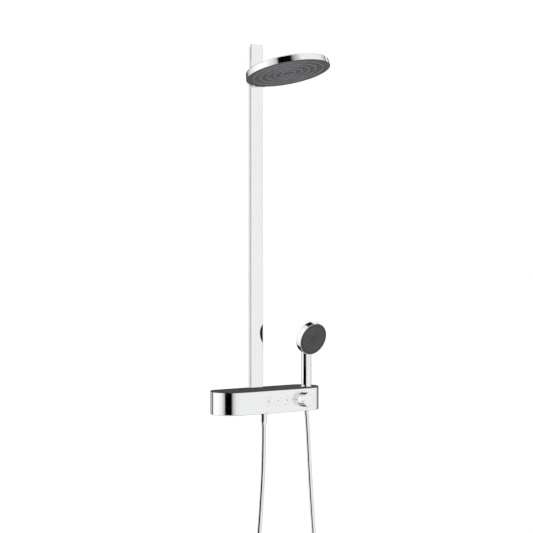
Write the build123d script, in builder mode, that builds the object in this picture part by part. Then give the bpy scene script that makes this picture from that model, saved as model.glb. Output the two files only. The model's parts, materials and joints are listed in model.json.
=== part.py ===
from build123d import *
import os
from math import cos, degrees, hypot, pi, radians, sin, tan

# Rainfall shower column: a thermostatic shelf unit on the wall, a flat riser with a tilting
# overhead shower, and a hand shower on a hose.
# Frame: the origin is on the wall plane at the middle of the shelf unit's back. +X is to the
# right seen from the front, +Y goes into the wall, +Z is up. All sizes are millimetres.

# ---------------------------------------------------------------- driving dimensions
RUNNING = 0.05            # radial clearance of a shaft that turns or slides in its bore
SEATED = 0.1              # clearance between pieces of one body
CLEAR = 0.3               # clearance between pieces that move past each other

UNIT_LENGTH = 400.0       # shelf unit along X
UNIT_DEPTH = 116.0        # shelf unit out from the wall
UNIT_HEIGHT = 73.0        # shelf unit with its glass
UNIT_WALL = 3.0
FRONT_RADIUS = 64.0       # plan corners at the front
BACK_RADIUS = 50.0        # plan corners at the wall
GLASS_THICKNESS = 3.5
GLASS_EDGE = 0.8          # rounding of the glass edge
BASE_EDGE = 2.0           # rounding of the housing's lower edge

WINDOW_LENGTH = 270.0     # opening in the housing's back
WINDOW_HEIGHT = 56.0
TAB_LENGTH = 40.0         # fixing tabs of the wall plate
TAB_DEPTH = 22.0
TAB_THICKNESS = 3.2
TAB_X = 112.0
SCREW_RADIUS = 2.0
SCREW_HEAD_RADIUS = 3.5
SCREW_HEAD_HEIGHT = 1.4
SCREW_SOCKET_RADIUS = 1.4
SCREW_SOCKET_DEPTH = 1.1

INLET_SPACING = 150.0     # hot and cold inlets, centre to centre
INLET_BORE = 9.3          # radius of the half-inch female thread
INLET_THREAD = 14.0       # thread length from the wall plane
UNION_RADIUS = 13.5
FILTER_RADIUS = 8.6
FILTER_THICKNESS = 1.5
FILTER_HOLES = 6
FILTER_HOLE_RADIUS = 1.7
FILTER_HOLE_CIRCLE = 4.7

VALVE_LENGTH = 220.0      # brass manifold
VALVE_CENTRE_X = 12.0
VALVE_BACK = 28.0         # distances out from the wall
VALVE_FRONT = 62.0
VALVE_HEIGHT = 36.0
VALVE_EDGE = 4.5
VALVE_BORE = 7.0
VALVE_BORE_DEPTH = 17.0   # blind bores for the unions and cartridges
OUTLET_BORE_DEPTH = 12.0

BUTTON_PITCH = 38.0       # three outlet buttons
BUTTON_COUNT = 3
BUTTON_RADIUS = 14.2
BUTTON_THICKNESS = 3.7
BUTTON_PROUD = 0.3
BUTTON_TRAVEL = 2.5
STEM_RADIUS = 3.0
STEM_LENGTH = 8.6
SELECT_RADIUS = 11.0      # cartridge behind each button
SELECT_FRONT = 107.8      # its front, out from the wall

KNOB_X = 103.0            # temperature knob
KNOB_RADIUS = 22.5
KNOB_LENGTH = 26.0
KNOB_GAP = 0.4            # knob to its base ring
KNOB_EDGE = 1.6           # rounding of its front edge
BASE_RING = 2.6           # base ring in front of the housing
BASE_RING_RADIUS = 21.0
BASE_NECK_RADIUS = 16.8
BASE_BORE_RADIUS = 9.0
RING_FROM_FACE = 14.5     # coloured ring, out from the housing's front
RING_WIDTH = 1.2
RING_DEPTH = 1.0
SPINDLE_RADIUS = 4.0
SPINDLE_LENGTH = 17.0     # behind the knob
CAP_RADIUS = 17.0
CAP_THICKNESS = 1.6
CAP_EDGE = 0.4
CARTRIDGE_RADIUS = 14.0
CARTRIDGE_FRONT = 112.5
STOP_WIDTH = 8.0          # safety stop button on the knob's rim
STOP_LENGTH = 6.5
STOP_HEIGHT = 4.6
STOP_PROUD = 0.8
STOP_BACK = 1.5           # its pocket, from the knob's back
STOP_TRAVEL = 2.0

RISER_WIDTH = 51.0
RISER_FRONT = 14.6        # front of the cover, out from the wall
RISER_BACK = 1.2          # back of the rail, out from the wall
COVER_THICKNESS = 3.5
RAIL_WEB = 1.8
RAIL_FLANGE = 3.5
RISER_TOP = 1106.5        # top of the cover
CAP_STEP = 7.0            # rail cap below the cover's top
CAP_HEIGHT = 2.0
COVER_EDGE = 3.4          # rounding of its front's long edges
RAIL_ROUND = 4.0          # rounding of the rail's front corners
RAIL_BACK_ROUND = 2.5
DUCT_WIDTH = 24.0         # flat water duct in the riser
DUCT_DEPTH = 5.5
DUCT_WALL = 1.0
DUCT_FRONT = 8.9
DUCT_FOOT = 14.0          # lower end, inside the shelf unit
DUCT_PAST_HINGE = 17.0    # its upper end, above the tilt axis
COUPLING_WIDTH = 34.0
COUPLING_TOP = 26.0
COUPLING_FOOT = -10.0

BRACKET_WIDTH = 56.0      # upper wall bracket
BRACKET_DEPTH = 10.0
BRACKET_PLATE = 1.0
BRACKET_HEIGHT = 127.0
BRACKET_DROP = 0.5        # its top, below the rail's top
BRACKET_SCREW_RADIUS = 2.75
BRACKET_SCREW_X = 31.0    # hole to hole
BRACKET_SCREW_Z = 100.0

HINGE_Y = -26.0           # tilt axis of the overhead shower
HINGE_DROP = 123.5        # tilt axis below the cover's top
KNUCKLE_RADIUS = 9.0
ARM_WIDTH = 28.0
LUG_WIDTH = 7.0
LUG_REACH = 17.0          # lug from the tilt axis to the middle of its foot
PIN_RADIUS = 4.0

HEAD_RADIUS = 131.0       # overhead shower
HEAD_HEIGHT = 22.0
HEAD_TAPER = 3.0          # smaller radius at its top
HEAD_TOP_ROUND = 4.0
HEAD_TILT = 16.4          # degrees, front edge up
HEAD_OUT = 139.0          # centre of the spray face, in front of the tilt axis
HEAD_RISE = 28.0          # and above it
HEAD_WALL = 2.5
PLATE_THICKNESS = 3.0     # spray plates
RIM_WIDTH = 1.2           # chrome edge around a spray plate
MAT_THICKNESS = 1.6
CHAMBER_WALL = 2.0
HEAD_LEDGE = 4.0          # step that the overhead plate seats on
HEAD_SCREWS = 6
HEAD_SCREW_CIRCLE = 96.0
SEAL_WIDTH = 2.5

HAND_X = 145.0            # hand shower's handle axis
HAND_Y = -81.0
HANDLE_RADIUS = 15.5
HANDLE_WALL = 3.0
HANDLE_FOOT = -8.0
FACE_TILT = 18.0          # degrees, spray face turned down from level
FACE_OUT = 34.0           # face centre in front of the handle axis
FACE_Z = 186.0
FACE_RADIUS = 52.0
FACE_RIM = 22.0           # depth of the head's rim
FACE_DEPTH = 26.0         # depth of the head in its middle
FACE_CROWN = 0.6          # where its flat back starts, as a share of the radius
FACE_EDGE = 4.0           # rounding of the rim's back edge
FACE_BACK_ROUND = 30.0
FACE_BACK_WALL = 9.0      # back wall over the water chamber
FACE_LEDGE = 2.0
HAND_HOLES = 8            # inlets of the hand shower's chamber
HAND_HOLE_CIRCLE = 28.0
NECK_BEND_Z = 148.0
NECK_BEND_RADIUS = 60.0
NECK_INSET = 3.0          # keeps the neck's end clear of the spray face
PIPE_RADIUS = 8.0
PIPE_WALL = 1.2
PIPE_FOOT = 12.0          # pipe above the handle's foot
PIPE_DROP = 8.0           # pipe's end below the neck's bend
MODE_WIDTH = 14.0         # spray mode button on the handle
MODE_HEIGHT = 22.0
MODE_Z = 115.0
MODE_PROUD = 0.5
MODE_THICKNESS = 4.0
MODE_TRAVEL = 2.0

HOLDER_WALL = 2.4         # sleeve that holds the handle
HOLDER_RIM = 3.6          # its rim over the glass, wider than the bore
HOLDER_RIM_HEIGHT = 0.8

THREAD_RADIUS = 10.3      # half-inch male thread
NUT_RADIUS = 12.0
NUT_NECK_RADIUS = 9.0
HOSE_RADIUS = 6.5
HOSE_BORE = 4.5
OUTLET_Y = -47.0          # hose outlet under the unit, at X = 0
OUTLET_NUT_TOP = -34.0
OUTLET_COLLAR = 12.0
OUTLET_NECK = 22.0
OUTLET_CONE = 12.0
WASHER_THICKNESS = 1.6
WASHER_BORE = 6.0
HAND_NUT_LENGTH = 25.5
HAND_NUT_GAP = 0.5        # nut below the handle's foot
CONNECTOR_LENGTH = 12.6   # thread below the handle

# ---------------------------------------------------------------- worked-out places
unit_top = UNIT_HEIGHT / 2
unit_floor = -UNIT_HEIGHT / 2
inner_floor = unit_floor + UNIT_WALL
glass_bottom = unit_top - GLASS_THICKNESS
front_plane = Plane.XZ.offset(UNIT_DEPTH)          # local y is up, normal towards the user
buttons_x = [(i - (BUTTON_COUNT - 1) / 2) * BUTTON_PITCH for i in range(BUTTON_COUNT)]
rail_front = RISER_FRONT - COVER_THICKNESS
rail_top = RISER_TOP - CAP_STEP - CAP_HEIGHT
holder_bore = HANDLE_RADIUS + CLEAR
holder_outer = holder_bore + HOLDER_WALL
nut_bore = THREAD_RADIUS + RUNNING
outlet_nut_foot = OUTLET_NUT_TOP - OUTLET_COLLAR - OUTLET_NECK - OUTLET_CONE
hand_nut_top = HANDLE_FOOT - HAND_NUT_GAP
hand_nut_foot = hand_nut_top - HAND_NUT_LENGTH
valve_top = VALVE_HEIGHT / 2
hinge_z = RISER_TOP - HINGE_DROP
head_centre = (0, HINGE_Y - HEAD_OUT, hinge_z + HEAD_RISE)
tab_spots = [(side * TAB_X, -UNIT_WALL - TAB_DEPTH / 2) for side in (-1, 1)]
inlet_spots = [(side * INLET_SPACING / 2, 0) for side in (-1, 1)]
written = []


def write(builder, name):
    """Labels a finished piece and writes its STEP file."""
    builder.part.label = name
    export_step(builder.part, f"parts/{name}.step")
    written.append(name)


def unit_plan(inset):
    """The shelf unit's plan, stepped in from its outline by inset."""
    with BuildSketch() as plan:
        with Locations((0, -UNIT_DEPTH / 2)):
            Rectangle(UNIT_LENGTH - 2 * inset, UNIT_DEPTH - 2 * inset)
        fillet(plan.vertices().group_by(Axis.Y)[0], FRONT_RADIUS - inset)
        fillet(plan.vertices().group_by(Axis.Y)[-1], BACK_RADIUS - inset)
    return plan.sketch


def facing(x, z, out):
    """A plane that faces the user, centred at x and z, at a distance out from the wall."""
    return Plane(origin=(x, -out, z), x_dir=(1, 0, 0), z_dir=(0, -1, 0))


def level(x, y, z):
    """A level plane at a point, facing up."""
    return Plane.XY.move(Location((x, y, z)))


def turned(profile, section):
    """A solid of revolution about the section plane's own y axis through its origin."""
    with BuildPart() as solid:
        with BuildSketch(section):
            with BuildLine():
                Polyline(*profile, close=True)
            make_face()
        revolve(axis=Axis(section.origin, section.y_dir))
    return solid


outer_plan = unit_plan(0)
inner_plan = unit_plan(UNIT_WALL)
os.makedirs("parts", exist_ok=True)

# ---------------------------------------------------------------- shelf unit
with BuildPart() as tablet_housing:
    with BuildSketch(Plane.XY.offset(unit_floor)):
        add(outer_plan)
    extrude(amount=glass_bottom - unit_floor)
    fillet(tablet_housing.faces().sort_by(Axis.Z)[0].edges(), BASE_EDGE)
    with BuildSketch(Plane.XY.offset(inner_floor)):
        add(inner_plan)
    extrude(amount=UNIT_HEIGHT, mode=Mode.SUBTRACT)
    with BuildSketch(Plane.XZ):
        RectangleRounded(WINDOW_LENGTH, WINDOW_HEIGHT, UNIT_WALL)
    extrude(amount=UNIT_WALL, mode=Mode.SUBTRACT)
    with BuildSketch(front_plane):
        with Locations(*[(x, 0) for x in buttons_x]):
            Circle(BUTTON_RADIUS + CLEAR)
        with Locations((KNOB_X, 0)):
            Circle(BASE_NECK_RADIUS + SEATED)
    extrude(amount=-UNIT_WALL, mode=Mode.SUBTRACT)
    with BuildSketch(Plane.XY.offset(unit_floor)):
        with Locations((0, OUTLET_Y)):
            Circle(NUT_RADIUS + CLEAR)
        with Locations((HAND_X, HAND_Y)):
            Circle(holder_bore)
        with Locations(*tab_spots):
            Circle(SCREW_RADIUS + SEATED)
    extrude(amount=UNIT_WALL, mode=Mode.SUBTRACT)
    with BuildSketch(Plane.XY.offset(unit_floor)):
        with Locations(*tab_spots):
            Circle(SCREW_HEAD_RADIUS + SEATED)
    extrude(amount=SCREW_HEAD_HEIGHT + SEATED, mode=Mode.SUBTRACT)
write(tablet_housing, "tablet_housing")

with BuildPart() as glass_shelf:
    with BuildSketch(Plane.XY.offset(glass_bottom)):
        add(outer_plan)
    extrude(amount=GLASS_THICKNESS)
    fillet(glass_shelf.faces().sort_by(Axis.Z)[-1].edges(), GLASS_EDGE)
    with BuildSketch(Plane.XY.offset(glass_bottom)):
        with Locations((HAND_X, HAND_Y)):
            Circle(holder_outer + SEATED)
        with Locations((0, -(RISER_FRONT + SEATED) / 2)):
            Rectangle(RISER_WIDTH + 2 * SEATED, RISER_FRONT + SEATED)
    extrude(amount=GLASS_THICKNESS, mode=Mode.SUBTRACT)
write(glass_shelf, "glass_shelf")

with BuildPart() as back_plate:
    with BuildSketch(Plane.XZ):
        RectangleRounded(WINDOW_LENGTH - 2 * SEATED, WINDOW_HEIGHT - 2 * SEATED, UNIT_WALL - SEATED)
        with Locations(*inlet_spots):
            Circle(UNION_RADIUS + CLEAR, mode=Mode.SUBTRACT)
    extrude(amount=UNIT_WALL)
    tab_bottom = inner_floor + SEATED
    with BuildSketch(facing(0, 0, UNIT_WALL)):
        for side in (-1, 1):
            with Locations((side * TAB_X, tab_bottom + TAB_THICKNESS / 2)):
                Rectangle(TAB_LENGTH, TAB_THICKNESS)
            rise = -(WINDOW_HEIGHT / 2) + UNIT_WALL + TAB_THICKNESS - tab_bottom
            with Locations((side * TAB_X, tab_bottom + rise / 2)):
                Rectangle(TAB_LENGTH, rise)
    extrude(amount=TAB_THICKNESS)
    with BuildSketch(facing(0, 0, UNIT_WALL)):
        for side in (-1, 1):
            with Locations((side * TAB_X, tab_bottom + TAB_THICKNESS / 2)):
                Rectangle(TAB_LENGTH, TAB_THICKNESS)
    extrude(amount=TAB_DEPTH)
    with BuildSketch(Plane.XY.offset(tab_bottom)):
        with Locations(*tab_spots):
            Circle(SCREW_RADIUS + SEATED)
    extrude(amount=TAB_THICKNESS, mode=Mode.SUBTRACT)
write(back_plate, "back_plate")

with BuildPart() as housing_screws:
    with BuildSketch(Plane.XY.offset(unit_floor)):
        with Locations(*tab_spots):
            Circle(SCREW_HEAD_RADIUS)
    extrude(amount=SCREW_HEAD_HEIGHT)
    with BuildSketch(Plane.XY.offset(unit_floor + SCREW_HEAD_HEIGHT)):
        with Locations(*tab_spots):
            Circle(SCREW_RADIUS)
    extrude(amount=UNIT_WALL + TAB_THICKNESS)
    with BuildSketch(Plane.XY.offset(unit_floor)):
        with Locations(*tab_spots):
            RegularPolygon(SCREW_SOCKET_RADIUS, 6)
    extrude(amount=SCREW_SOCKET_DEPTH, mode=Mode.SUBTRACT)
write(housing_screws, "housing_screws")

with BuildPart() as shower_holder:
    with BuildSketch(level(HAND_X, HAND_Y, inner_floor)):
        Circle(holder_outer)
    extrude(amount=unit_top - inner_floor)
    with BuildSketch(level(HAND_X, HAND_Y, unit_top)):
        Circle(holder_bore + HOLDER_RIM)
    extrude(amount=HOLDER_RIM_HEIGHT)
    with BuildSketch(level(HAND_X, HAND_Y, inner_floor)):
        Circle(holder_bore)
    extrude(amount=UNIT_HEIGHT, mode=Mode.SUBTRACT)
write(shower_holder, "shower_holder")

# ---------------------------------------------------------------- water works in the unit
with BuildPart() as valve_body:
    with BuildSketch(facing(VALVE_CENTRE_X, 0, VALVE_BACK)):
        RectangleRounded(VALVE_LENGTH, VALVE_HEIGHT, VALVE_EDGE)
    extrude(amount=VALVE_FRONT - VALVE_BACK)
    with BuildSketch(facing(0, 0, VALVE_BACK)):
        with Locations(*inlet_spots):
            Circle(VALVE_BORE)
    extrude(amount=VALVE_BORE_DEPTH, mode=Mode.SUBTRACT)
    with BuildSketch(facing(0, 0, VALVE_FRONT)):
        with Locations(*[(x, 0) for x in buttons_x], (KNOB_X, 0)):
            Circle(VALVE_BORE)
    extrude(amount=-VALVE_BORE_DEPTH, mode=Mode.SUBTRACT)
    with BuildSketch(level(0, OUTLET_Y, -valve_top)):
        Circle(VALVE_BORE)
    extrude(amount=OUTLET_BORE_DEPTH, mode=Mode.SUBTRACT)
write(valve_body, "valve_body")

for side, side_name in ((-1, "left"), (1, "right")):
    with BuildPart() as union:
        with BuildSketch(facing(side * INLET_SPACING / 2, 0, 0)):
            Circle(UNION_RADIUS)
        extrude(amount=VALVE_BACK)
        with BuildSketch(facing(side * INLET_SPACING / 2, 0, 0)):
            Circle(INLET_BORE)
        extrude(amount=INLET_THREAD, mode=Mode.SUBTRACT)
        with BuildSketch(facing(side * INLET_SPACING / 2, 0, 0)):
            Circle(FILTER_RADIUS + SEATED)
        extrude(amount=INLET_THREAD + FILTER_THICKNESS + SEATED, mode=Mode.SUBTRACT)
        with BuildSketch(facing(side * INLET_SPACING / 2, 0, 0)):
            Circle(VALVE_BORE)
        extrude(amount=VALVE_BACK, mode=Mode.SUBTRACT)
    write(union, f"inlet_union_{side_name}")

with BuildPart() as inlet_filters:
    with BuildSketch(facing(0, 0, INLET_THREAD + SEATED)):
        with Locations(*inlet_spots):
            Circle(FILTER_RADIUS)
            with PolarLocations(FILTER_HOLE_CIRCLE, FILTER_HOLES):
                Circle(FILTER_HOLE_RADIUS, mode=Mode.SUBTRACT)
    extrude(amount=FILTER_THICKNESS)
write(inlet_filters, "inlet_filters")

with BuildPart() as thermostat_cartridge:
    with BuildSketch(facing(KNOB_X, 0, VALVE_FRONT)):
        Circle(CARTRIDGE_RADIUS)
    extrude(amount=CARTRIDGE_FRONT - VALVE_FRONT)
    with BuildSketch(facing(KNOB_X, 0, CARTRIDGE_FRONT)):
        Circle(SPINDLE_RADIUS + RUNNING)
    extrude(amount=-(SPINDLE_LENGTH + CLEAR), mode=Mode.SUBTRACT)
write(thermostat_cartridge, "thermostat_cartridge")

for index, x in enumerate(buttons_x, 1):
    with BuildPart() as select_valve:
        with BuildSketch(facing(x, 0, VALVE_FRONT)):
            Circle(SELECT_RADIUS)
        extrude(amount=SELECT_FRONT - VALVE_FRONT)
        with BuildSketch(facing(x, 0, SELECT_FRONT)):
            Circle(STEM_RADIUS + RUNNING)
        extrude(amount=-(STEM_LENGTH + BUTTON_TRAVEL), mode=Mode.SUBTRACT)
    write(select_valve, f"select_valve_{index}")

    button_back = UNIT_DEPTH + BUTTON_PROUD - BUTTON_THICKNESS
    with BuildPart() as select_button:
        with BuildSketch(facing(x, 0, button_back)):
            Circle(BUTTON_RADIUS)
        extrude(amount=BUTTON_THICKNESS)
        fillet(select_button.faces().sort_by(Axis.Y)[0].edges(), BUTTON_PROUD)
        with BuildSketch(facing(x, 0, button_back)):
            Circle(STEM_RADIUS)
        extrude(amount=-STEM_LENGTH)
    write(select_button, f"select_button_{index}")

with BuildPart() as duct_coupling:
    coupling_back = UNIT_WALL + SEATED
    with BuildSketch(level(0, -(coupling_back + VALVE_BACK) / 2, COUPLING_FOOT)):
        Rectangle(COUPLING_WIDTH, VALVE_BACK - coupling_back)
    extrude(amount=COUPLING_TOP - COUPLING_FOOT)
    with BuildSketch(level(0, -DUCT_FRONT + DUCT_DEPTH / 2, DUCT_FOOT)):
        SlotOverall(DUCT_WIDTH + 2 * SEATED, DUCT_DEPTH + 2 * SEATED)
    extrude(amount=COUPLING_TOP, mode=Mode.SUBTRACT)
write(duct_coupling, "duct_coupling")

with BuildPart() as outlet_spigot:
    spigot_foot = OUTLET_NUT_TOP - OUTLET_COLLAR + 2 * WASHER_THICKNESS
    with BuildSketch(level(0, OUTLET_Y, -valve_top)):
        Circle(THREAD_RADIUS)
        Circle(VALVE_BORE, mode=Mode.SUBTRACT)
    extrude(amount=spigot_foot + valve_top)
write(outlet_spigot, "outlet_spigot")

# ---------------------------------------------------------------- temperature knob
knob_back = UNIT_DEPTH + BASE_RING + KNOB_GAP
knob_front = knob_back + KNOB_LENGTH
ring_back = UNIT_DEPTH + RING_FROM_FACE

with BuildPart() as knob_base_ring:
    with BuildSketch(facing(KNOB_X, 0, UNIT_DEPTH)):
        Circle(BASE_RING_RADIUS)
    extrude(amount=BASE_RING)
    with BuildSketch(facing(KNOB_X, 0, UNIT_DEPTH)):
        Circle(BASE_NECK_RADIUS)
    extrude(amount=-UNIT_WALL)
    with BuildSketch(facing(KNOB_X, 0, UNIT_DEPTH - UNIT_WALL)):
        Circle(BASE_BORE_RADIUS)
    extrude(amount=UNIT_WALL + BASE_RING, mode=Mode.SUBTRACT)
write(knob_base_ring, "knob_base_ring")

with BuildPart() as temperature_knob:
    with BuildSketch(facing(KNOB_X, 0, knob_back)):
        Circle(KNOB_RADIUS)
    extrude(amount=KNOB_LENGTH)
    fillet(temperature_knob.faces().sort_by(Axis.Y)[0].edges(), KNOB_EDGE)
    with BuildSketch(facing(KNOB_X, 0, ring_back)):
        Circle(KNOB_RADIUS)
        Circle(KNOB_RADIUS - RING_DEPTH, mode=Mode.SUBTRACT)
    extrude(amount=RING_WIDTH, mode=Mode.SUBTRACT)
    with BuildSketch(facing(KNOB_X, 0, knob_front)):
        Circle(CAP_RADIUS + SEATED)
    extrude(amount=-CAP_THICKNESS, mode=Mode.SUBTRACT)
    pocket_middle = KNOB_RADIUS - STOP_HEIGHT / 2 - STOP_TRAVEL
    with BuildSketch(facing(KNOB_X, pocket_middle, knob_back + STOP_BACK)):
        Rectangle(STOP_WIDTH + 2 * CLEAR, STOP_HEIGHT + 3 * STOP_TRAVEL)
    extrude(amount=STOP_LENGTH + 2 * CLEAR, mode=Mode.SUBTRACT)
    with BuildSketch(facing(KNOB_X, 0, knob_back)):
        Circle(SPINDLE_RADIUS)
    extrude(amount=-SPINDLE_LENGTH)
write(temperature_knob, "temperature_knob")

with BuildPart() as knob_ring:
    with BuildSketch(facing(KNOB_X, 0, ring_back)):
        Circle(KNOB_RADIUS)
        Circle(KNOB_RADIUS - RING_DEPTH, mode=Mode.SUBTRACT)
    extrude(amount=RING_WIDTH)
write(knob_ring, "knob_ring")

with BuildPart() as knob_cap:
    with BuildSketch(facing(KNOB_X, 0, knob_front - CAP_THICKNESS)):
        Circle(CAP_RADIUS)
    extrude(amount=CAP_THICKNESS)
    fillet(knob_cap.faces().sort_by(Axis.Y)[0].edges(), CAP_EDGE)
write(knob_cap, "knob_cap")

with BuildPart() as safety_stop_button:
    stop_top = KNOB_RADIUS + STOP_PROUD
    stop_middle = stop_top - STOP_HEIGHT / 2
    with BuildSketch(facing(KNOB_X, stop_middle, knob_back + STOP_BACK + CLEAR)):
        Rectangle(STOP_WIDTH, STOP_HEIGHT)
    extrude(amount=STOP_LENGTH)
    fillet(safety_stop_button.faces().sort_by(Axis.Z)[-1].edges(), STOP_PROUD)
write(safety_stop_button, "safety_stop_button")

# ---------------------------------------------------------------- riser
arm_window = [ARM_WIDTH + 2 * SEATED, 2 * (KNUCKLE_RADIUS + SEATED)]

with BuildSketch() as rail_outline:
    with Locations((0, -(RISER_BACK + rail_front) / 2)):
        Rectangle(RISER_WIDTH, rail_front - RISER_BACK)
    fillet(rail_outline.vertices().group_by(Axis.Y)[0], RAIL_ROUND)
    fillet(rail_outline.vertices().group_by(Axis.Y)[-1], RAIL_BACK_ROUND)
rail_plan = rail_outline.sketch

with BuildPart() as riser_rail:
    with BuildSketch(Plane.XY.offset(glass_bottom)):
        add(rail_plan)
        channel_front = rail_front - RAIL_WEB
        with Locations((0, -channel_front / 2)):
            Rectangle(RISER_WIDTH - 2 * RAIL_FLANGE, channel_front, mode=Mode.SUBTRACT)
    extrude(amount=rail_top - glass_bottom)
    with BuildSketch(facing(0, hinge_z, rail_front)):
        Rectangle(*arm_window)
    extrude(amount=-RAIL_WEB, mode=Mode.SUBTRACT)
write(riser_rail, "riser_rail")

with BuildPart() as riser_cover:
    with BuildSketch(level(0, -RISER_FRONT + COVER_THICKNESS / 2, glass_bottom)):
        Rectangle(RISER_WIDTH, COVER_THICKNESS)
    extrude(amount=RISER_TOP - glass_bottom)
    fillet(riser_cover.faces().sort_by(Axis.Y)[0].edges().filter_by(Axis.Z), COVER_EDGE)
    with BuildSketch(facing(0, hinge_z, RISER_FRONT)):
        Rectangle(*arm_window)
    extrude(amount=-COVER_THICKNESS, mode=Mode.SUBTRACT)
write(riser_cover, "riser_cover")

with BuildPart() as riser_end_cap:
    with BuildSketch(Plane.XY.offset(rail_top)):
        add(rail_plan)
    extrude(amount=CAP_HEIGHT)
write(riser_end_cap, "riser_end_cap")

with BuildPart() as water_duct:
    with BuildSketch(level(0, -DUCT_FRONT + DUCT_DEPTH / 2, DUCT_FOOT)):
        SlotOverall(DUCT_WIDTH, DUCT_DEPTH)
        SlotOverall(DUCT_WIDTH - 2 * DUCT_WALL, DUCT_DEPTH - 2 * DUCT_WALL, mode=Mode.SUBTRACT)
    extrude(amount=hinge_z + DUCT_PAST_HINGE - DUCT_FOOT)
write(water_duct, "water_duct")

with BuildPart() as upper_bracket:
    bracket_foot = rail_top - BRACKET_DROP - BRACKET_HEIGHT
    with BuildSketch(level(0, -BRACKET_DEPTH / 2, bracket_foot)):
        Rectangle(BRACKET_WIDTH, BRACKET_DEPTH)
        with Locations((0, -BRACKET_PLATE / 2)):
            Rectangle(RISER_WIDTH + 2 * SEATED, BRACKET_DEPTH - BRACKET_PLATE, mode=Mode.SUBTRACT)
    extrude(amount=BRACKET_HEIGHT)
    with BuildSketch(facing(0, bracket_foot + BRACKET_HEIGHT / 2, 0)):
        with GridLocations(BRACKET_SCREW_X, BRACKET_SCREW_Z, 2, 2):
            Circle(BRACKET_SCREW_RADIUS)
    extrude(amount=BRACKET_PLATE, mode=Mode.SUBTRACT)
write(upper_bracket, "upper_bracket")

# ---------------------------------------------------------------- overhead shower
side_plane = Plane(origin=(0, HINGE_Y, hinge_z), x_dir=(0, 1, 0), z_dir=(1, 0, 0))
arm_root = -HINGE_Y - DUCT_FRONT - SEATED

with BuildPart() as overhead_arm:
    with BuildSketch(side_plane.offset(-ARM_WIDTH / 2)):
        Circle(KNUCKLE_RADIUS)
        with Locations((arm_root / 2, 0)):
            Rectangle(arm_root, 2 * KNUCKLE_RADIUS)
        Circle(PIN_RADIUS + SEATED / 4, mode=Mode.SUBTRACT)
    extrude(amount=ARM_WIDTH)
write(overhead_arm, "overhead_arm")

pin_half = ARM_WIDTH / 2 + CLEAR + LUG_WIDTH
with BuildPart() as tilt_pin:
    with BuildSketch(side_plane.offset(-pin_half)):
        Circle(PIN_RADIUS)
    extrude(amount=2 * pin_half)
write(tilt_pin, "tilt_pin")

tilt = radians(HEAD_TILT)
head_section = Plane(origin=head_centre, x_dir=(1, 0, 0), z_dir=(0, -cos(tilt), sin(tilt)))
head_base = Plane(origin=head_centre, x_dir=(1, 0, 0), z_dir=(0, sin(tilt), cos(tilt)))
head_inner = HEAD_RADIUS - HEAD_TAPER - HEAD_WALL
plate_radius = HEAD_RADIUS - RIM_WIDTH
plate_seat = PLATE_THICKNESS + 2 * SEATED
# A lug runs forward from the tilt axis, square to the head's axis, into the rear rim.
lug_way = (-cos(tilt) * LUG_REACH, sin(tilt) * LUG_REACH)

with BuildPart() as overhead_housing:
    with BuildSketch(head_section):
        with BuildLine():
            rim = [(HEAD_RADIUS, 0), (HEAD_RADIUS - HEAD_TAPER, HEAD_HEIGHT), (0, HEAD_HEIGHT)]
            FilletPolyline((0, 0), *rim, radius=[SEATED, HEAD_TOP_ROUND])
            Line((0, HEAD_HEIGHT), (0, 0))
        make_face()
    revolve(axis=Axis(head_section.origin, head_section.y_dir))
    for side in (-1, 1):
        lug_start = side * (ARM_WIDTH / 2 + CLEAR)
        with BuildSketch(side_plane.offset(lug_start)):
            with Locations((lug_way[0] / 2, lug_way[1] / 2)):
                SlotCenterToCenter(LUG_REACH, 2 * KNUCKLE_RADIUS, rotation=180 - HEAD_TILT)
        extrude(amount=side * LUG_WIDTH)
    with BuildSketch(side_plane.offset(-pin_half)):
        Circle(PIN_RADIUS + RUNNING)
    extrude(amount=2 * pin_half, mode=Mode.SUBTRACT)
    with BuildSketch(head_section):
        with BuildLine():
            Polyline(
                (0, 0),
                (plate_radius + SEATED, 0),
                (plate_radius + SEATED, plate_seat),
                (head_inner, plate_seat),
                (head_inner, HEAD_HEIGHT - HEAD_WALL),
                (0, HEAD_HEIGHT - HEAD_WALL),
                close=True,
            )
        make_face()
    revolve(axis=Axis(head_section.origin, head_section.y_dir), mode=Mode.SUBTRACT)
write(overhead_housing, "overhead_housing")

with BuildPart() as overhead_spray_plate:
    with BuildSketch(head_base.offset(SEATED)):
        Circle(plate_radius)
    extrude(amount=PLATE_THICKNESS)
write(overhead_spray_plate, "overhead_spray_plate")

mat_base = plate_seat + SEATED
mat_radius = head_inner - HEAD_LEDGE
with BuildPart() as overhead_nozzle_mat:
    with BuildSketch(head_base.offset(mat_base)):
        Circle(mat_radius)
    extrude(amount=MAT_THICKNESS)
write(overhead_nozzle_mat, "overhead_nozzle_mat")

chamber_base = mat_base + MAT_THICKNESS + SEATED
chamber_top = HEAD_HEIGHT - HEAD_WALL - 2 * SEATED
chamber_radius = mat_radius - SEAL_WIDTH - 2 * SEATED
overhead_chamber = turned(
    [
        (0, chamber_top - CHAMBER_WALL),
        (chamber_radius - CHAMBER_WALL, chamber_top - CHAMBER_WALL),
        (chamber_radius - CHAMBER_WALL, chamber_base),
        (chamber_radius, chamber_base),
        (chamber_radius, chamber_top),
        (0, chamber_top),
    ],
    head_section,
)
write(overhead_chamber, "overhead_chamber")

with BuildPart() as overhead_seal:
    with BuildSketch(head_base.offset(chamber_base)):
        Circle(mat_radius)
        Circle(mat_radius - SEAL_WIDTH, mode=Mode.SUBTRACT)
    extrude(amount=SEAL_WIDTH)
write(overhead_seal, "overhead_seal")

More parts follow.
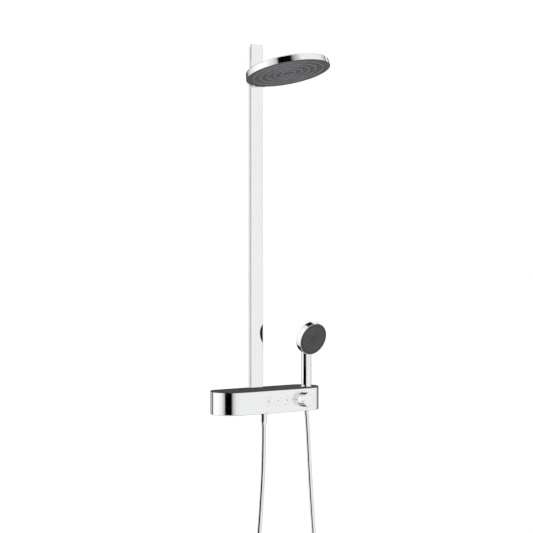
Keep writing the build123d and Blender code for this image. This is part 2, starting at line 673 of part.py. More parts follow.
with BuildPart() as overhead_screws:
    screw_span = chamber_top - CHAMBER_WALL - SEATED - chamber_base
    with BuildSketch(head_base.offset(chamber_base)):
        with PolarLocations(HEAD_SCREW_CIRCLE, HEAD_SCREWS):
            Circle(SCREW_RADIUS)
    extrude(amount=screw_span)
    with BuildSketch(head_base.offset(chamber_base)):
        with PolarLocations(HEAD_SCREW_CIRCLE, HEAD_SCREWS):
            Circle(SCREW_HEAD_RADIUS)
    extrude(amount=SCREW_HEAD_HEIGHT)
write(overhead_screws, "overhead_screws")

# ---------------------------------------------------------------- hand shower
droop = radians(FACE_TILT)
face_centre = (HAND_X, HAND_Y - FACE_OUT, FACE_Z)
back_way = (0, cos(droop), sin(droop))
face_section = Plane(origin=face_centre, x_dir=(1, 0, 0), z_dir=(0, -sin(droop), cos(droop)))
face_base = Plane(origin=face_centre, x_dir=(1, 0, 0), z_dir=back_way)
handle_side = Plane(origin=(HAND_X, 0, 0), x_dir=(0, 1, 0), z_dir=(1, 0, 0))
neck_depth = HANDLE_RADIUS + NECK_INSET
neck_end = (
    face_centre[1] + back_way[1] * neck_depth,
    face_centre[2] + back_way[2] * neck_depth,
)
neck_route = [(HAND_Y, HANDLE_FOOT), (HAND_Y, NECK_BEND_Z), neck_end]
face_inner = FACE_RADIUS - HANDLE_WALL
face_plate_radius = FACE_RADIUS - RIM_WIDTH
cavity_top = FACE_DEPTH - FACE_BACK_WALL
handle_bore = HANDLE_RADIUS - HANDLE_WALL
mode_front = HANDLE_RADIUS + MODE_PROUD

with BuildPart() as hand_shower_shell:
    with BuildLine(handle_side):
        FilletPolyline(*neck_route, radius=NECK_BEND_RADIUS)
    with BuildSketch(level(HAND_X, HAND_Y, HANDLE_FOOT)):
        Circle(HANDLE_RADIUS)
    sweep()
    with BuildSketch(face_section):
        with BuildLine():
            crown = (FACE_RADIUS * FACE_CROWN, FACE_DEPTH)
            outline = [(0, 0), (FACE_RADIUS, 0), (FACE_RADIUS, FACE_RIM), crown, (0, FACE_DEPTH)]
            FilletPolyline(*outline, radius=[SEATED, FACE_EDGE, FACE_BACK_ROUND])
            Line((0, FACE_DEPTH), (0, 0))
        make_face()
    revolve(axis=Axis(face_section.origin, face_section.y_dir))
    with BuildSketch(face_section):
        with BuildLine():
            Polyline(
                (0, 0),
                (face_plate_radius + SEATED, 0),
                (face_plate_radius + SEATED, plate_seat),
                (face_inner - FACE_LEDGE, plate_seat),
                (face_inner - FACE_LEDGE, cavity_top),
                (0, cavity_top),
                close=True,
            )
        make_face()
    revolve(axis=Axis(face_section.origin, face_section.y_dir), mode=Mode.SUBTRACT)
    with BuildLine(handle_side):
        FilletPolyline(*neck_route, radius=NECK_BEND_RADIUS)
    with BuildSketch(level(HAND_X, HAND_Y, HANDLE_FOOT)):
        Circle(handle_bore)
    sweep(mode=Mode.SUBTRACT)
    with BuildSketch(facing(HAND_X, MODE_Z, -HAND_Y)):
        RectangleRounded(MODE_WIDTH + 2 * CLEAR, MODE_HEIGHT + 2 * CLEAR, MODE_WIDTH / 3)
    extrude(amount=2 * HANDLE_RADIUS, mode=Mode.SUBTRACT)
write(hand_shower_shell, "hand_shower_shell")

with BuildPart() as hand_spray_plate:
    with BuildSketch(face_base.offset(SEATED)):
        Circle(face_plate_radius)
    extrude(amount=PLATE_THICKNESS)
write(hand_spray_plate, "hand_spray_plate")

hand_mat_radius = face_inner - FACE_LEDGE - 2 * SEATED
with BuildPart() as hand_nozzle_mat:
    with BuildSketch(face_base.offset(mat_base)):
        Circle(hand_mat_radius)
    extrude(amount=MAT_THICKNESS)
write(hand_nozzle_mat, "hand_nozzle_mat")

with BuildPart() as hand_chamber:
    with BuildSketch(face_base.offset(chamber_base)):
        Circle(hand_mat_radius)
    extrude(amount=CHAMBER_WALL)
    with BuildSketch(face_base.offset(chamber_base)):
        with PolarLocations(HAND_HOLE_CIRCLE, HAND_HOLES):
            Circle(CHAMBER_WALL)
    extrude(amount=CHAMBER_WALL, mode=Mode.SUBTRACT)
write(hand_chamber, "hand_chamber")

pipe_foot = HANDLE_FOOT + PIPE_FOOT
with BuildPart() as hand_inner_pipe:
    with BuildSketch(level(HAND_X, HAND_Y, pipe_foot)):
        Circle(PIPE_RADIUS)
        Circle(PIPE_RADIUS - PIPE_WALL, mode=Mode.SUBTRACT)
    extrude(amount=NECK_BEND_Z - PIPE_DROP - pipe_foot)
write(hand_inner_pipe, "hand_inner_pipe")

with BuildPart() as hand_connector:
    with BuildSketch(level(HAND_X, HAND_Y, HANDLE_FOOT)):
        Circle(handle_bore - SEATED)
    extrude(amount=pipe_foot - SEATED - HANDLE_FOOT)
    with BuildSketch(level(HAND_X, HAND_Y, HANDLE_FOOT)):
        Circle(THREAD_RADIUS)
    extrude(amount=-CONNECTOR_LENGTH)
    with BuildSketch(level(HAND_X, HAND_Y, pipe_foot)):
        Circle(WASHER_BORE)
    extrude(amount=-(2 * CONNECTOR_LENGTH), mode=Mode.SUBTRACT)
write(hand_connector, "hand_connector")

with BuildPart() as mode_button:
    with BuildSketch(level(HAND_X, HAND_Y, MODE_Z - MODE_HEIGHT / 2)):
        Circle(mode_front)
        Circle(mode_front - MODE_THICKNESS, mode=Mode.SUBTRACT)
    extrude(amount=MODE_HEIGHT)
    with BuildSketch(facing(HAND_X, MODE_Z, -HAND_Y)):
        RectangleRounded(MODE_WIDTH, MODE_HEIGHT, MODE_WIDTH / 3)
    extrude(amount=2 * HANDLE_RADIUS, mode=Mode.INTERSECT)
write(mode_button, "mode_button")

# ---------------------------------------------------------------- hose and its nuts
def hose_place(along, height):
    """A point of the hose, along the level line from the outlet to the holder, at a height."""
    share = along / hypot(HAND_X, HAND_Y - OUTLET_Y)
    return (share * HAND_X, OUTLET_Y + share * (HAND_Y - OUTLET_Y), height)


hose_span = hypot(HAND_X, HAND_Y - OUTLET_Y)
# The hose hangs in one long loop: down from the outlet, round the bottom and up to the holder.
hose_route = [
    (0.0, outlet_nut_foot),
    (0.0, -180.0),
    (-8.0, -320.0),
    (-19.0, -455.0),
    (-25.0, -575.0),
    (-26.0, -684.0),
    (37.0, -747.5),
    (127.0, -747.5),
    (190.0, -684.0),
    (186.0, -570.0),
    (177.5, -455.0),
    (168.5, -340.0),
    (161.6, -235.0),
    (153.2, -85.0),
    (hose_span, -42.0),
    (hose_span, hand_nut_foot),
]
hose_points = [Vector(*hose_place(*spot)) for spot in hose_route]
hose_radii = []
for before, here, after in zip(hose_points, hose_points[1:], hose_points[2:]):
    half_turn = radians((here - before).get_angle(after - here)) / 2
    shorter = min((here - before).length, (after - here).length)
    hose_radii.append(0.45 * shorter / tan(half_turn))
print("hose radii", [round(r) for r in hose_radii])

with BuildPart() as hose_tube:
    with BuildLine() as hose_line:
        FilletPolyline(*hose_points, radius=hose_radii)
    with BuildSketch(level(0, OUTLET_Y, outlet_nut_foot)):
        Circle(HOSE_RADIUS)
        Circle(HOSE_BORE, mode=Mode.SUBTRACT)
    sweep()
write(hose_tube, "hose_tube")
hose_length = sum(edge.length for edge in hose_line.edges())
hose_section = pi * (HOSE_RADIUS**2 - HOSE_BORE**2)
print("hose length", round(hose_length, 1), "volume ratio",
      round(hose_tube.part.volume / (hose_section * hose_length), 4))

collar_foot = OUTLET_NUT_TOP - OUTLET_COLLAR
neck_foot = collar_foot - OUTLET_NECK
washer_seat = collar_foot + WASHER_THICKNESS - SEATED
outlet_section = Plane(origin=(0, OUTLET_Y, 0), x_dir=(1, 0, 0), z_dir=(0, -1, 0))
outlet_nut = turned(
    [
        (nut_bore, OUTLET_NUT_TOP),
        (NUT_RADIUS, OUTLET_NUT_TOP),
        (NUT_RADIUS, collar_foot),
        (NUT_NECK_RADIUS, collar_foot),
        (NUT_NECK_RADIUS, neck_foot),
        (HOSE_RADIUS, outlet_nut_foot),
        (HOSE_BORE, outlet_nut_foot),
        (HOSE_BORE, washer_seat),
        (nut_bore, washer_seat),
    ],
    outlet_section,
)
write(outlet_nut, "outlet_nut")

with BuildPart() as outlet_washer:
    with BuildSketch(level(0, OUTLET_Y, washer_seat)):
        Circle(THREAD_RADIUS - SEATED)
        Circle(WASHER_BORE, mode=Mode.SUBTRACT)
    extrude(amount=WASHER_THICKNESS)
write(outlet_washer, "outlet_washer")

hand_section = Plane(origin=(HAND_X, HAND_Y, 0), x_dir=(1, 0, 0), z_dir=(0, -1, 0))
thread_foot = HANDLE_FOOT - CONNECTOR_LENGTH
hand_seat = thread_foot - CLEAR - WASHER_THICKNESS - SEATED
hand_nut = turned(
    [
        (nut_bore, hand_nut_top),
        (NUT_RADIUS, hand_nut_top),
        (NUT_RADIUS, hand_seat - 2 * WASHER_THICKNESS),
        (HOSE_RADIUS, hand_nut_foot),
        (HOSE_BORE, hand_nut_foot),
        (HOSE_BORE, hand_seat),
        (nut_bore, hand_seat),
    ],
    hand_section,
)
write(hand_nut, "hand_nut")

with BuildPart() as hand_washer:
    with BuildSketch(level(HAND_X, HAND_Y, hand_seat)):
        Circle(THREAD_RADIUS - SEATED)
        Circle(WASHER_BORE, mode=Mode.SUBTRACT)
    extrude(amount=WASHER_THICKNESS)
write(hand_washer, "hand_washer")

print(len(written), "pieces written")
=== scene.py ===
"""Looks of a wall-mounted rainfall shower column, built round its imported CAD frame.

Lengths are metres in the frame's own axes: X along the wall, Y into the wall and Z up.
Each sub-assembly is a class that builds its surfaces with numpy and dresses them.
"""

from __future__ import annotations

import json
import logging
import math
from dataclasses import dataclass
from enum import Enum
from typing import Sequence

import bpy
import numpy as np
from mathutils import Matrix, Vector

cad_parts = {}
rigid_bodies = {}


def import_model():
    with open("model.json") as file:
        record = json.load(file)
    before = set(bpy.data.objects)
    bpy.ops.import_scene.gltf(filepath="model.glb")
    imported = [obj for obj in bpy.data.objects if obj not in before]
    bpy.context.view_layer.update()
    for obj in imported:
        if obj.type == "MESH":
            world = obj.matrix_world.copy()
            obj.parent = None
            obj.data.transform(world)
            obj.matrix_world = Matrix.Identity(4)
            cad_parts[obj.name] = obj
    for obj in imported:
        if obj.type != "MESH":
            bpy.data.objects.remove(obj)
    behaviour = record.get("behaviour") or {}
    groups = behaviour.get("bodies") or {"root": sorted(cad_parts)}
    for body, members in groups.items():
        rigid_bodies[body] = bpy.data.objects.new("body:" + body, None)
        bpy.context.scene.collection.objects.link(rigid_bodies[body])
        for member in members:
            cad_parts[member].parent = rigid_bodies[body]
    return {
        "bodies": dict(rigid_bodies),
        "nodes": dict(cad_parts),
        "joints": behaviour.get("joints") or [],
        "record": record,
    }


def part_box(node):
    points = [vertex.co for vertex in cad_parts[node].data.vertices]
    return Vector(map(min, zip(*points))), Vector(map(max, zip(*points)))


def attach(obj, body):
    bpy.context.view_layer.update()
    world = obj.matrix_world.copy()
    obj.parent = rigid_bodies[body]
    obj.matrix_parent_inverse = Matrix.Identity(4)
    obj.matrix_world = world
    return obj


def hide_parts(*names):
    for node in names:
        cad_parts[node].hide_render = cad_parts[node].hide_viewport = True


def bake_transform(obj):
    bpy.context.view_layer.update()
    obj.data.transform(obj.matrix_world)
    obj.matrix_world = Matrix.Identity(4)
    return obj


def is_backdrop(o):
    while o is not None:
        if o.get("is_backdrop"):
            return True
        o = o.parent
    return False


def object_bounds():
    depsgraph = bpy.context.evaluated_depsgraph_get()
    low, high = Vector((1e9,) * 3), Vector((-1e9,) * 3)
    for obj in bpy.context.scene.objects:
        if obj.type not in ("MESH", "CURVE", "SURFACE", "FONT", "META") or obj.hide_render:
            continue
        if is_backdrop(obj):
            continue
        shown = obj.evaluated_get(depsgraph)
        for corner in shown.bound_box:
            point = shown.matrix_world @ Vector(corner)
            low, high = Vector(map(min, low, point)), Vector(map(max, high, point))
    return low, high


log = logging.getLogger("shower_column")

MM = 0.001
TURN = 2.0 * math.pi


class Outlet(Enum):
    """What each push button opens, from left to right, by the body the button is."""

    OVERHEAD = "button_left"
    WIDE = "button_middle"
    HAND = "button_right"


# ------------------------------------------------------------------ surfaces

# Distance of a supporting point from its arc, as a share of the arc's radius.
SUPPORT = 0.35


def rounded_profile(
    corners: Sequence[tuple[float, float]], radii: Sequence[float], steps: int = 6
) -> np.ndarray:
    """Points of a profile whose inner corners are replaced by arcs.

    An arc of radius r touches both runs at r * tan(turn / 2) from the corner. One more point
    stands just outside each arc, so that smooth shading stays flat on the runs.

    Args:
        corners: the profile's corner points, in order.
        radii: one radius for each inner corner.
        steps: segments of each arc.

    Returns:
        An array of shape (points, 2).
    """
    pts = np.asarray(corners, float)
    out = [pts[0]]
    for here, before, after, radius in zip(pts[1:-1], pts[:-2], pts[2:], radii):
        if radius <= 0:
            out.append(here)
            continue
        a = (before - here) / np.linalg.norm(before - here)
        b = (after - here) / np.linalg.norm(after - here)
        half = math.acos(float(np.clip(a @ b, -1, 1))) / 2
        reach = radius / math.tan(half)
        centre = here + (a + b) / np.linalg.norm(a + b) * radius / math.sin(half)
        start, end = here + a * reach - centre, here + b * reach - centre
        sweep = math.pi - 2 * half
        t = np.linspace(0, 1, steps + 1)[:, None]
        arc = (np.sin((1 - t) * sweep) * start + np.sin(t * sweep) * end) / math.sin(sweep)
        support = reach + SUPPORT * radius
        out.append(here + a * support)
        out.extend(centre + arc)
        out.append(here + b * support)
    out.append(pts[-1])
    return np.array(out)


def mesh_object(name: str, points: np.ndarray, *faces: np.ndarray) -> bpy.types.Object:
    """A smooth-shaded mesh object at the origin.

    Args:
        name: the object's name.
        points: vertex places, shape (vertices, 3).
        *faces: vertex numbers, each array of shape (faces, 3 or 4).

    Returns:
        The linked object.
    """
    mesh = bpy.data.meshes.new(name)
    mesh.from_pydata(points.tolist(), [], sum((part.tolist() for part in faces), []))
    mesh.polygons.foreach_set("use_smooth", np.ones(len(mesh.polygons), bool))
    mesh.update()
    obj = bpy.data.objects.new(name, mesh)
    bpy.context.scene.collection.objects.link(obj)
    return obj


def grid_faces(rows: int, columns: int, closed: bool, start: int = 0) -> np.ndarray:
    """Quads of a grid whose points are numbered row by row.

    Args:
        rows: points along the first parameter.
        columns: points along the second parameter.
        closed: whether the last column joins the first.
        start: number of the grid's first point.

    Returns:
        Faces, shape (quads, 4).
    """
    r = np.arange(rows - 1)[:, None]
    c = np.arange(columns if closed else columns - 1)[None, :]
    n = (c + 1) % columns
    quads = np.stack([r * columns + c, r * columns + n, (r + 1) * columns + n,
                      (r + 1) * columns + c], -1)
    return quads.reshape(-1, 4) + start


@dataclass(frozen=True)
class Place:
    """A local frame: an origin, an axis that surfaces turn about, and a sideways direction."""

    origin: tuple[float, float, float]
    axis: tuple[float, float, float]
    side: tuple[float, float, float] = (1.0, 0.0, 0.0)

    def world(self, local: np.ndarray) -> np.ndarray:
        """Carries points (side, across, along the axis) into the frame.

        Args:
            local: points, shape (..., 3).

        Returns:
            The same points in the frame's axes.
        """
        w = np.array(self.axis) / np.linalg.norm(self.axis)
        u = np.array(self.side) - np.dot(self.side, w) * w
        u /= np.linalg.norm(u)
        basis = np.stack([u, np.cross(w, u), w])
        return local @ basis + np.array(self.origin)


def turned(name: str, place: Place, profile: np.ndarray, segments: int) -> bpy.types.Object:
    """A closed surface of revolution.

    Point (i, j) is the profile's point i, turned about the axis by j / segments of a turn. A
    profile point on the axis becomes a single pole.

    Args:
        name: the object's name.
        place: frame of the axis.
        profile: (radius, height) points, from one pole to the other or round a closed ring.
        segments: points of each circle.

    Returns:
        The object.
    """
    angle = np.arange(segments) / segments * TURN
    first, last = profile[0, 0] < 1e-9, profile[-1, 0] < 1e-9
    body = profile[(1 if first else 0):(len(profile) - 1 if last else len(profile))]
    ring = np.stack([np.cos(angle), np.sin(angle)], -1)
    flat = body[:, 0, None, None] * ring[None]
    high = np.broadcast_to(body[:, 1, None, None], flat.shape[:2] + (1,))
    points = np.concatenate([flat, high], -1).reshape(-1, 3)
    faces = [grid_faces(len(body), segments, True)]
    poles = []
    here, after = np.arange(segments), (np.arange(segments) + 1) % segments
    if first:
        poles.append([0, 0, profile[0, 1]])
        pole = np.full(segments, len(points))
        faces.append(np.stack([pole, after, here], -1))
    if last:
        poles.append([0, 0, profile[-1, 1]])
        pole = np.full(segments, len(points) + len(poles) - 1)
        base = (len(body) - 1) * segments
        faces.append(np.stack([pole, base + here, base + after], -1))
    points = np.concatenate([points, np.array(poles).reshape(-1, 3)])
    return mesh_object(name, place.world(points), *faces)


def dress(obj: bpy.types.Object, material: bpy.types.Material) -> None:
    """Gives an object one material."""
    obj.data.materials.clear()
    obj.data.materials.append(material)


def middle_of(node: str) -> np.ndarray:
    """Middle of a node's CAD box."""
    low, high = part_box(node)
    return (np.array(low) + np.array(high)) / 2


# ------------------------------------------------------------------ finishes


def grey(level: float) -> tuple[float, float, float, float]:
    """An opaque grey."""
    return (level, level, level, 1.0)


class Shade:
    """A principled material with short calls for its nodes."""

    def __init__(self, name: str) -> None:
        """Makes an empty material with a principled shader.

        Args:
            name: the material's name.
        """
        self.material = bpy.data.materials.new(name)
        self.material.use_nodes = True
        self.tree = self.material.node_tree
        self.shader = self.tree.nodes["Principled BSDF"]

    def set(self, **sockets: object) -> "Shade":
        """Sets the shader's own sockets.

        Args:
            **sockets: values by socket name, with an underscore for each space.

        Returns:
            The same shade.
        """
        for name, value in sockets.items():
            self.shader.inputs[name.replace("_", " ")].default_value = value
        return self

    def node(self, kind: str, **facts: object) -> bpy.types.Node:
        """Adds a node.

        Args:
            kind: the node's type.
            **facts: properties or input values by name, with an underscore for each space.

        Returns:
            The node.
        """
        made = self.tree.nodes.new(kind)
        for name, value in facts.items():
            if name in {i.name.replace(" ", "_") for i in made.inputs}:
                made.inputs[name.replace("_", " ")].default_value = value
            else:
                setattr(made, name, value)
        return made

    def link(self, out: bpy.types.NodeSocket, into: bpy.types.NodeSocket) -> None:
        """Joins two sockets."""
        self.tree.links.new(out, into)

    def place(self) -> bpy.types.NodeSocket:
        """The object's own coordinates."""
        return self.node("ShaderNodeTexCoord").outputs["Object"]

    def noise(self, scale: float, detail: float = 3.0,
              stretch: tuple[float, float, float] | None = None) -> bpy.types.NodeSocket:
        """A noise value on the object's coordinates.

        Args:
            scale: waves per metre.
            detail: octaves.
            stretch: scale of each axis before the noise, for a grain with a direction.

        Returns:
            The noise's value socket.
        """
        made = self.node("ShaderNodeTexNoise", Scale=scale, Detail=detail)
        where = self.place()
        if stretch is not None:
            mapping = self.node("ShaderNodeMapping", Scale=stretch)
            self.link(where, mapping.inputs["Vector"])
            where = mapping.outputs["Vector"]
        self.link(where, made.inputs["Vector"])
        return made.outputs["Fac"]

    def spread(self, value: bpy.types.NodeSocket, low: float, high: float,
               start: float = 0.35, end: float = 0.65) -> bpy.types.NodeSocket:
        """A value carried from start..end to low..high.

        Args:
            value: the value's socket.
            low: what start becomes.
            high: what end becomes.
            start: lower end of the value's run.
            end: upper end of the value's run.

        Returns:
            The new value's socket.
        """
        made = self.node("ShaderNodeMapRange")
        for index, number in enumerate((start, end, low, high), 1):
            made.inputs[index].default_value = number
        self.link(value, made.inputs[0])
        return made.outputs[0]

    def tint(self, value: bpy.types.NodeSocket, low: Sequence[float],
             high: Sequence[float]) -> None:
        """Runs the base colour with a value.

        Args:
            value: the value's socket.
            low: colour at and below 0.3.
            high: colour at and above 0.7.
        """
        ramp = self.node("ShaderNodeValToRGB")
        ramp.color_ramp.elements[0].color = (*low, 1.0)
        ramp.color_ramp.elements[0].position = 0.3
        ramp.color_ramp.elements[1].color = (*high, 1.0)
        ramp.color_ramp.elements[1].position = 0.7
        self.link(value, ramp.inputs["Fac"])
        self.link(ramp.outputs["Color"], self.shader.inputs["Base Color"])

    def roughen(self, value: bpy.types.NodeSocket) -> None:
        """Drives the roughness."""
        self.link(value, self.shader.inputs["Roughness"])

    def bump(self, value: bpy.types.NodeSocket, depth: float, strength: float = 1.0) -> None:
        """Raises the surface by a value.

        Args:
            value: the value's socket.
            depth: height of a full step, in metres.
            strength: share of the effect.
        """
        made = self.node("ShaderNodeBump", Strength=strength, Distance=depth)
        self.link(value, made.inputs["Height"])
        self.link(made.outputs["Normal"], self.shader.inputs["Normal"])


@dataclass(frozen=True)
class Chrome:
    """Polished plating with a faint waviness and traces of dried water."""

    name: str = "polished_chrome"
    colour: tuple[float, float, float] = (0.90, 0.905, 0.91)
    smooth: float = 0.025
    dull: float = 0.075
    wave: float = 0.012 * MM
    clouds: float = 9.0
    traces: float = 38.0
    ripples: float = 60.0

    def build(self) -> bpy.types.Material:
        """Makes the material."""
        shade = Shade(self.name).set(Metallic=1.0)
        shade.tint(shade.noise(self.clouds, 4.0), [c * 0.985 for c in self.colour], self.colour)
        dried = shade.noise(self.traces, 5.0)
        shade.roughen(shade.spread(dried, self.smooth, self.dull, 0.45, 0.8))
        shade.bump(shade.noise(self.ripples, 1.0), self.wave)
        return shade.material


@dataclass(frozen=True)
class Plastic:
    """Moulded plastic with a fine grain."""

    name: str
    colour: tuple[float, float, float]
    roughness: float = 0.4
    grain: float = 900.0
    depth: float = 0.04 * MM
    varied: float = 0.12
    clouds: float = 40.0
    patches: float = 120.0

    def build(self) -> bpy.types.Material:
        """Makes the material."""
        shade = Shade(self.name).set(Specular_IOR_Level=0.5)
        low = [c * (1 - self.varied) for c in self.colour]
        high = [min(1.0, c * (1 + self.varied)) for c in self.colour]
        shade.tint(shade.noise(self.clouds, 4.0), low, high)
        soft = shade.noise(self.patches)
        shade.roughen(shade.spread(soft, self.roughness * 0.85, self.roughness * 1.15))
        shade.bump(shade.noise(self.grain, 2.0), self.depth)
        return shade.material


@dataclass(frozen=True)
class BrushedMetal:
    """Metal with a fine grain along one axis."""

    name: str
    colour: tuple[float, float, float]
    roughness: float = 0.3
    stretch: tuple[float, float, float] = (1.0, 1.0, 0.03)
    depth: float = 0.02 * MM
    lines: float = 2600.0

    def build(self) -> bpy.types.Material:
        """Makes the material."""
        shade = Shade(self.name).set(Metallic=1.0)
        grain = shade.noise(self.lines, stretch=self.stretch)
        shade.tint(grain, [c * 0.93 for c in self.colour], self.colour)
        shade.roughen(shade.spread(grain, self.roughness * 0.8, self.roughness * 1.25))
        shade.bump(grain, self.depth)
        return shade.material


@dataclass(frozen=True)
class ShelfGlass:
    """Graphite safety glass, satin on top, dark through its edge."""

    name: str = "graphite_glass"
    colour: tuple[float, float, float] = (0.040, 0.040, 0.043)
    roughness: float = 0.42
    clouds: float = 6.0
    etching: float = 1800.0
    depth: float = 0.015 * MM

    def build(self) -> bpy.types.Material:
        """Makes the material."""
        shade = Shade(self.name).set(Specular_IOR_Level=0.35)
        low = [c * 0.9 for c in self.colour]
        shade.tint(shade.noise(self.clouds, 2.0), low, [c * 1.12 for c in self.colour])
        etched = shade.noise(self.etching, 2.0)
        shade.roughen(shade.spread(etched, self.roughness * 0.9, self.roughness * 1.1))
        shade.bump(etched, self.depth)
        return shade.material


FINISHES: dict[str, object] = {
    "chrome": Chrome(),
    "shelf_glass": ShelfGlass(),
    "steel": BrushedMetal("stainless_steel", (0.58, 0.58, 0.59), 0.32),
    "brass": BrushedMetal("machined_brass", (0.70, 0.52, 0.24), 0.34, (0.05, 1.0, 1.0)),
    "rail_aluminium": BrushedMetal("drawn_aluminium", (0.80, 0.80, 0.82), 0.2),
    "white_plastic": Plastic("natural_white_plastic", (0.72, 0.71, 0.68), 0.45),
    "spray_face": Plastic("graphite_spray_face", (0.105, 0.107, 0.111), 0.26),
    "hand_face": Plastic("graphite_hand_face", (0.028, 0.028, 0.030), 0.27),
    "silicone": Plastic("grey_silicone", (0.21, 0.21, 0.215), 0.5, 500.0),
    "red_ring": Plastic("red_ring_plastic", (0.78, 0.03, 0.07), 0.5, 400.0, 0.01 * MM, 0.05),
    "hose": Chrome("metal_effect_hose", (0.84, 0.85, 0.86), 0.10, 0.22, 0.02 * MM),
}


class Finishes:
    """Makes each finish once and hands it out by material slot."""

    def __init__(self) -> None:
        """Starts with nothing made."""
        self._made: dict[str, bpy.types.Material] = {}

    def get(self, slot: str) -> bpy.types.Material:
        """The material of a slot of the record."""
        if slot not in self._made:
            self._made[slot] = FINISHES[slot].build()
        return self._made[slot]

    def dress_frame(self, frame: dict) -> None:
        """Gives every node of the frame the finish of its slot.
        """
        for part in frame["record"]["subparts"]:
            dress(frame["nodes"][part["node"]], self.get(part["material_slot"]))


# ------------------------------------------------------------------ hose


def smooth_line(name: str, points: Sequence[Vector]) -> np.ndarray:
    """Points read along a NURBS line of order 3 through a route.

    Args:
        name: name of the short-lived curve.
        points: the route's control points.

    Returns:
        Points along the line, shape (points, 3).
    """
    curve = bpy.data.curves.new(name, "CURVE")
    curve.dimensions = "3D"
    curve.resolution_u = 64
    spline = curve.splines.new("NURBS")
    spline.points.add(len(points) - 1)
    for spot, point in zip(spline.points, points):
        spot.co = (*point, 1.0)
    spline.order_u = 3
    spline.use_endpoint_u = True
    holder = bpy.data.objects.new(name, curve)
    bpy.context.scene.collection.objects.link(holder)
    bpy.context.view_layer.update()
    mesh = bpy.data.meshes.new_from_object(holder)
    flat = np.empty(len(mesh.vertices) * 3)
    mesh.vertices.foreach_get("co", flat)
    bpy.data.objects.remove(holder)
    bpy.data.curves.remove(curve)
    bpy.data.meshes.remove(mesh)
    return flat.reshape(-1, 3)


def even_line(points: np.ndarray, step: float) -> np.ndarray:
    """The same line with points an even step apart.

    Args:
        points: points along the line, shape (points, 3).
        step: distance between points, rounded so that a whole number of them fits.

    Returns:
        The new points, shape (points, 3).
    """
    length = np.concatenate([[0], np.cumsum(np.linalg.norm(np.diff(points, axis=0), axis=1))])
    spots = np.linspace(0, length[-1], max(2, round(length[-1] / step) + 1))
    return np.stack([np.interp(spots, length, points[:, k]) for k in range(3)], -1)


@dataclass
class Hose:
    """The shower hose: one long hanging loop with a fine spiral rib."""

    radius: float = 6.5 * MM
    rib: float = 0.22 * MM
    pitch: float = 3.4 * MM
    step: float = 0.85 * MM
    around: int = 20
    # The rib fades in over this many turns at each end.
    fade_turns: float = 4.0
    outlet: tuple[float, float] = (0.0, -47.0)
    holder: tuple[float, float] = (145.0, -81.0)
    # The route as (distance along the loop's level line, height), in millimetres.
    route: tuple[tuple[float, float], ...] = (
        (0.0, -80.0),
        (0.0, -180.0),
        (-8.0, -320.0),
        (-19.0, -455.0),
        (-25.0, -575.0),
        (-26.0, -684.0),
        (37.0, -747.5),
        (127.0, -747.5),
        (190.0, -684.0),
        (186.0, -570.0),
        (177.5, -455.0),
        (168.5, -340.0),
        (161.6, -235.0),
        (153.2, -85.0),
        (148.9328, -42.0),
        (148.9328, -34.0),
    )

    def points(self) -> list[Vector]:
        """The route's points in the frame, in metres."""
        (x0, y0), (x1, y1) = self.outlet, self.holder
        span = math.hypot(x1 - x0, y1 - y0)
        return [
            Vector((x0 + (x1 - x0) * s / span, y0 + (y1 - y0) * s / span, h)) * MM
            for s, h in self.route
        ]

    def build(self, finishes: Finishes) -> bpy.types.Object:
        """The hose's surface, from its outlet nut to the hand shower's nut.

        A circle is carried along the line; its radius rises by the rib where the angle round
        the hose and the distance along it are in step, which makes a spiral.

        Args:
            finishes: the material store.

        Returns:
            The hose.
        """
        line = even_line(smooth_line("hose_route", self.points()), self.step)
        along = np.gradient(line, axis=0)
        along /= np.linalg.norm(along, axis=1)[:, None]
        (x0, y0), (x1, y1) = self.outlet, self.holder
        side = np.array([y1 - y0, x0 - x1, 0.0])
        side /= np.linalg.norm(side)
        across = np.cross(along, side)
        distance = np.arange(len(line)) * self.step
        angle = np.arange(self.around) / self.around * TURN
        phase = angle[None, :] + TURN * distance[:, None] / self.pitch
        from_end = np.minimum(distance, distance[-1] - distance)
        ends = from_end / (self.fade_turns * self.pitch)
        lift = self.rib * np.clip(ends, 0, 1)[:, None]
        radius = self.radius - lift * 0.5 * (1 - np.cos(phase))
        ring = (np.cos(angle)[None, :, None] * side[None, None, :]
                + np.sin(angle)[None, :, None] * across[:, None, :])
        tube = line[:, None, :] + radius[..., None] * ring
        count, around = tube.shape[:2]
        faces = grid_faces(count, around, True)[:, ::-1]
        hose = mesh_object("hose", tube.reshape(-1, 3), faces)
        dress(hose, finishes.get("hose"))
        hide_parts("hose_tube")
        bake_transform(hose)
        return hose


# ------------------------------------------------------------------ spray faces


# A nozzle's outline as (share of its radius, share of its height), from foot to tip.
NOZZLE_OUTLINE = ((1.25, -0.5), (1.0, 0.15), (0.8, 0.8), (0.62, 1.0), (0.42, 0.97), (0.3, 0.7))


